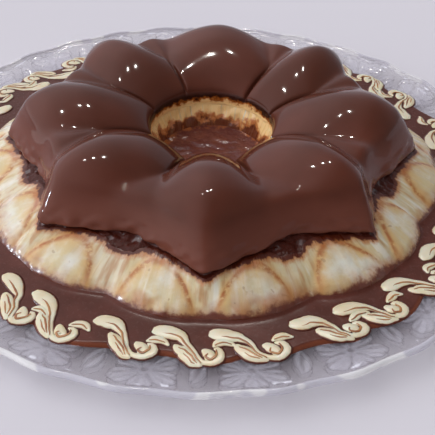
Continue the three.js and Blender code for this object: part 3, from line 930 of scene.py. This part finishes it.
def piped_scrolls(name, strokes, lay, finish):
    """The strokes of one scroll, repeated round the pool as flat ridges."""
    extra, lift, rise = lay
    level = SAUCE_LEVEL + lift
    sizes = {
        "Scrolls": SCROLLS,
        "Drift": SCROLL_DRIFT,
        "Level": level * MM,
        "Extra": extra * MM,
        "Rise": rise,
        "Wander": 6.0 * MM,
        "Rings": 30,
        "Sides": 10,
        "Finish": finish,
    }
    board, size = geometry_board(name + "_form", sizes)
    profile = board.add("GeometryNodeCurvePrimitiveCircle", None,
                        {"Resolution": size["Sides"], "Radius": 1.0})[0]
    at = board.parts(board.add("GeometryNodeInputPosition")[0])
    ridge = {
        "Curve": scroll_lines(board, size),
        "Profile Curve": board.store(profile, "across", at["X"]),
        "Scale": board.stored("half_width") * MM + size["Extra"],
        "Fill Caps": True,
    }
    body = board.add("GeometryNodeCurveToMesh", None, ridge)[0]
    above = (at["Z"] - size["Level"]) / MM
    height = above.math("ABSOLUTE") ** 0.5 * above.math("SIGN") * size["Rise"] * MM
    reach = (at["X"] * at["X"] + at["Y"] * at["Y"]).math("SQRT")
    start, end = (radius * MM for radius in SCROLL_FALL_ZONE)
    height = size["Level"] + height - board.step(reach, start, end) * SCROLL_FALL * MM
    flattened = board.add("ShaderNodeCombineXYZ", None, {"X": at["X"], "Y": at["Y"], "Z": height})
    body = board.add("GeometryNodeSetPosition", None,
                     {"Geometry": body, "Position": flattened[0]})[0]
    board.end_form(body, size["Finish"])

    points, edges, widths = [], [], []
    for stroke in strokes:
        for k, (along, out, half) in enumerate(stroke):
            turned = -math.pi / 2 + along / SCROLL_MIDDLE
            radius = SCROLL_MIDDLE + out
            if k:
                edges.append((len(points) - 1, len(points)))
            points.append((radius * math.cos(turned), radius * math.sin(turned), level))
            widths.append(half)
    return grow(name, points, edges, {"half_width": widths}, board, sizes)


# ---- Glass plate

def plate_profile():
    """Half the plate's outline from the middle of its foot round the rim to the middle of the
    well: radius, height and depth of the pressed relief at each point."""
    profile = [(r, 0.0, 0.0) for r in np.linspace(0, PLATE_FOOT, 4)]
    for r in np.linspace(PLATE_FOOT + 2, UNDERSIDE_RADII[-1], 34):
        z = np.interp(r, UNDERSIDE_RADII, UNDERSIDE_LEVELS)
        pressed = smooth(r, *RELIEF_START) * (1 - smooth(r, *RELIEF_END))
        profile.append((r, z, RELIEF_UNDER * pressed))
    for turn in np.radians(np.linspace(-60, 150, 12)):
        r = PLATE_RADIUS - RIM_ROUND + RIM_ROUND * math.cos(turn)
        profile.append((r, RIM_LEVEL + RIM_ROUND * math.sin(turn), 0.0))
    for r in np.linspace(RELIEF_FADE[1], WELL_RADIUS + 1, 50):
        profile.append((r, plate_top(r), RELIEF_OVER * (1 - smooth(r, *RELIEF_FADE))))
    return profile + [(r, plate_top(r), 0.0) for r in np.linspace(WELL_RADIUS - 1, 0, 5)]


def pressed_flowers(board, size, radius, spot):
    """The relief's height where round flowers of six petals stand, one at each whole spot."""
    near = (spot + 0.5).math("FRACT") - 0.5
    along = near * (2 * math.pi) / size["Flowers"] * size["Flower Middle"]
    out = radius - size["Flower Middle"]
    span = (along * along + out * out).math("SQRT") / size["Flower Size"]
    bearing = along.math("ARCTAN2", out)
    petal = (bearing * 3.0).math("COSINE").math("ABSOLUTE")
    border = 0.5 + 0.5 * petal ** 0.5
    petals = board.step(span / border, 1.0, 0.82) * (0.55 + 0.45 * petal)
    ribs = 0.4 * (bearing * 18.0).math("COSINE") * board.step(span, 0.25, 0.5)
    boss = board.step(span, 0.22, 0.14) * 0.5
    return petals * (1.0 + ribs) * board.step(span, 0.02, 0.25) + boss


def pressed_leaves(board, size, radius, spot):
    """The relief's height where a leaf leans over between two flowers."""
    near = spot.math("FRACT") - 0.5
    along = near * (2 * math.pi) / size["Flowers"] * size["Flower Middle"] / MM
    out = radius / MM - LEAF_MIDDLE - along * 0.9
    width = LEAF_HALF_WIDTH * (1.0 - (out / LEAF_HALF_LENGTH) ** 2.0).math("MAXIMUM", 0.001)
    span = (along + out * 0.25).math("ABSOLUTE") / width
    return board.step(span, 1.0, 0.7) * (0.45 + 0.4 * board.step(span, 0.0, 0.35))


def zone(board, radius, start, full, still_full=None, end=None):
    """1 from the full radius on, and 0 again past the end where there is one."""
    inside = board.step(radius, start * MM, full * MM)
    if end is None:
        return inside
    return inside * board.step(radius, end * MM, still_full * MM)


def glass_plate(finish):
    profile = plate_profile()
    sizes = {
        "Rows": len(profile),
        "Columns": PLATE_COLUMNS,
        "Waves": PLATE_WAVES,
        "Wave": PLATE_WAVE * MM,
        "Flowers": FLOWERS,
        "Flower Middle": FLOWER_MIDDLE * MM,
        "Flower Size": FLOWER_SIZE * MM,
        "Glass": finish,
    }
    board, size = geometry_board("pressed_plate", sizes)
    grid = {
        "Size X": 1.0,
        "Size Y": 1.0,
        "Vertices X": size["Rows"],
        "Vertices Y": size["Columns"] + 1.0,
    }
    body = board.add("GeometryNodeMeshGrid", None, grid)[0]
    position = board.add("GeometryNodeInputPosition")[0]
    at = board.parts(position)
    row = ((at["X"] + 0.5) * (size["Rows"] - 1.0)).math("ROUND")

    def on_profile(value, kind):
        values = {"Geometry": size["Geometry"], "Value": value, "Index": row}
        settings = {"data_type": kind, "domain": "POINT"}
        return board.add("GeometryNodeSampleIndex", settings, values)[0]

    outline = board.parts(on_profile(position, "FLOAT_VECTOR"))
    depth = on_profile(board.stored("relief"), "FLOAT")
    radius = outline["X"]
    angle = (at["Y"] + 0.5) * 2 * math.pi
    reach = (radius - WAVE_START * MM) / ((PLATE_RADIUS - WAVE_START) * MM)
    swing = (angle * size["Waves"]).math("COSINE")
    wave = size["Wave"] * reach.math("MAXIMUM", 0.0) * swing

    spot = angle * size["Flowers"] / (2 * math.pi)
    leaves = pressed_leaves(board, size, radius, spot)
    pressed = pressed_flowers(board, size, radius, spot).math("MAXIMUM", leaves)
    body = board.store(body, "pressed", pressed * zone(board, radius, *FLOWER_ZONE))
    body = board.store(body, "rim", zone(board, radius, *RIM_ZONE))
    body = board.store(body, "painted_glint_ring", zone(board, radius, *GLINT_RING_ZONE))

    wavy = radius + wave
    turned = board.add("ShaderNodeCombineXYZ", None, {
        "X": wavy * angle.math("COSINE"),
        "Y": wavy * angle.math("SINE"),
        "Z": outline["Z"] + wave * WAVE_LIFT + depth * pressed * MM,
    })[0]
    body = board.add("GeometryNodeSetPosition", None, {"Geometry": body, "Position": turned})[0]
    body = board.add("GeometryNodeMergeByDistance", None,
                     {"Geometry": body, "Distance": 0.01 * MM})[0]
    body = board.add("GeometryNodeFlipFaces", None, {"Mesh": body})[0]
    board.end_form(body, size["Glass"])

    points = [(r, 0.0, z) for r, z, _ in profile]
    edges = [(k, k + 1) for k in range(len(points) - 1)]
    relief = [depth for _, _, depth in profile]
    return grow("glass_plate", points, edges, {"relief": relief}, board, sizes)


# ---- Stage, lights and camera

TABLE_HALF = 3.0              # metres, as are the lamps' places
WINDOW_PLACE = (-1.95, -0.25, 0.3)
LAMP_PLACES = ((-0.34, 0.55, 1.6), (-0.06, 0.80, 1.6), (0.16, 0.95, 1.6))
BRIGHT_SIDE = (-0.93, 0.28, 0.24)
DIM_SKY = (0.31, 0.30, 0.30, 1.0)
BRIGHT_SKY = (2.2, 2.2, 2.3, 1.0)
LOW_SKY = (0.52, 0.51, 0.58, 1.0)


def add_table(finish):
    mesh = bpy.data.meshes.new("table_top")
    corners = [(x * TABLE_HALF, y * TABLE_HALF, 0) for x, y in ((-1, -1), (1, -1), (1, 1), (-1, 1))]
    mesh.from_pydata(corners, [], [(0, 1, 2, 3)])
    mesh.materials.append(finish)
    new_object("table_top", mesh)


def add_light(name, place, size, power, tint):
    """A round light aimed at the plate, which shows in reflections alone."""
    lamp = bpy.data.lights.new(name, "AREA")
    lamp.shape = "DISK"
    lamp.size = size
    lamp.energy = power
    lamp.color = tint
    light = new_object(name, lamp)
    light.location = place
    light.rotation_euler = Vector(place).to_track_quat("Z", "Y").to_euler()
    light.visible_diffuse = False


def add_world():
    """A soft room: bright toward the window, dim away from it and overhead."""
    world = bpy.data.worlds.new("studio")
    bpy.context.scene.world = world
    world.use_nodes = True
    board = Board(world.node_tree)
    board.tree.nodes.clear()
    direction = board.add("ShaderNodeTexCoord")["Generated"]
    at = board.parts(direction)
    toward = board.add("ShaderNodeVectorMath", {"operation": "DOT_PRODUCT"},
                       {0: direction, 1: BRIGHT_SIDE})["Value"]
    sky = board.colour(board.step(toward, -0.1, 1.0), DIM_SKY, BRIGHT_SKY)
    low = board.step(at["Z"], 0.85, 0.2) * board.step(at["Y"], 0.1, 0.8)
    sky = board.colour(low * 0.75, sky, LOW_SKY)
    shine = board.add("ShaderNodeBackground", None, {"Color": sky, "Strength": 1.0})
    board.add("ShaderNodeOutputWorld", None, {"Surface": shine[0]})


def add_camera():
    camera_data = bpy.data.cameras.new("camera")
    camera_data.lens = CAMERA_LENS
    camera_data.sensor_width = 36.0
    camera = new_object("camera", camera_data)
    camera.matrix_world = (
        Matrix.Translation([v * MM for v in CAMERA_PLACE])
        @ Matrix.Rotation(math.radians(-CAMERA_YAW), 4, "Z")
        @ Matrix.Rotation(math.radians(90 - CAMERA_PITCH), 4, "X")
        @ Matrix.Rotation(math.radians(CAMERA_ROLL), 4, "Z")
    )
    bpy.context.scene.camera = camera


# ---- Assembly

chocolate = new_finish("chocolate_gloss", chocolate_sockets)
custard = new_finish("custard_cream", custard_sockets)
sauce = new_finish("chocolate_sauce_wet", sauce_sockets)
hole_sauce = new_finish("hole_sauce_wet", hole_sauce_sockets)
cream = new_finish("piped_cream", cream_sockets)
syrup = new_finish("dark_syrup", plain_sockets("6a3020", "54241a"))
caramel = new_finish("caramel_streak", plain_sockets("b27a45", "8f5530"))
glass = new_finish("pressed_glass", glass_sockets)
table_paint = new_finish("pale_table", table_sockets)

made = (
    (chocolate_crown(chocolate), "chocolate_layer", "chocolate"),
    (custard_layer(custard), "custard_layer", "custard"),
    (hole_pool(hole_sauce), "hole_sauce", "hole_sauce"),
    (sauce_pool(sauce), "chocolate_sauce", "sauce"),
    (piped_scrolls("scroll_edges", CREAM_STROKES, EDGE_LAY, syrup), "chocolate_sauce", "sauce"),
    (piped_scrolls("cream_scrolls", CREAM_STROKES, CREAM_LAY, cream), "chocolate_sauce", "sauce"),
    (piped_scrolls("caramel_veins", VEIN_STROKES, VEIN_LAY, caramel), "chocolate_sauce", "sauce"),
    (glass_plate(glass), "plate", "plate_glass"),
)
for piece, node, slot in made:
    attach(piece, "root")
    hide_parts(node)

add_table(table_paint)
add_world()
add_light("window", WINDOW_PLACE, 0.14, 16.0, (0.75, 0.87, 1.0))
for number, lamp_place in enumerate(LAMP_PLACES):
    add_light(f"lamp_{number}", lamp_place, 0.024, 5.0, (1.0, 0.95, 0.88))
add_camera()
bpy.context.scene.view_settings.view_transform = "Standard"
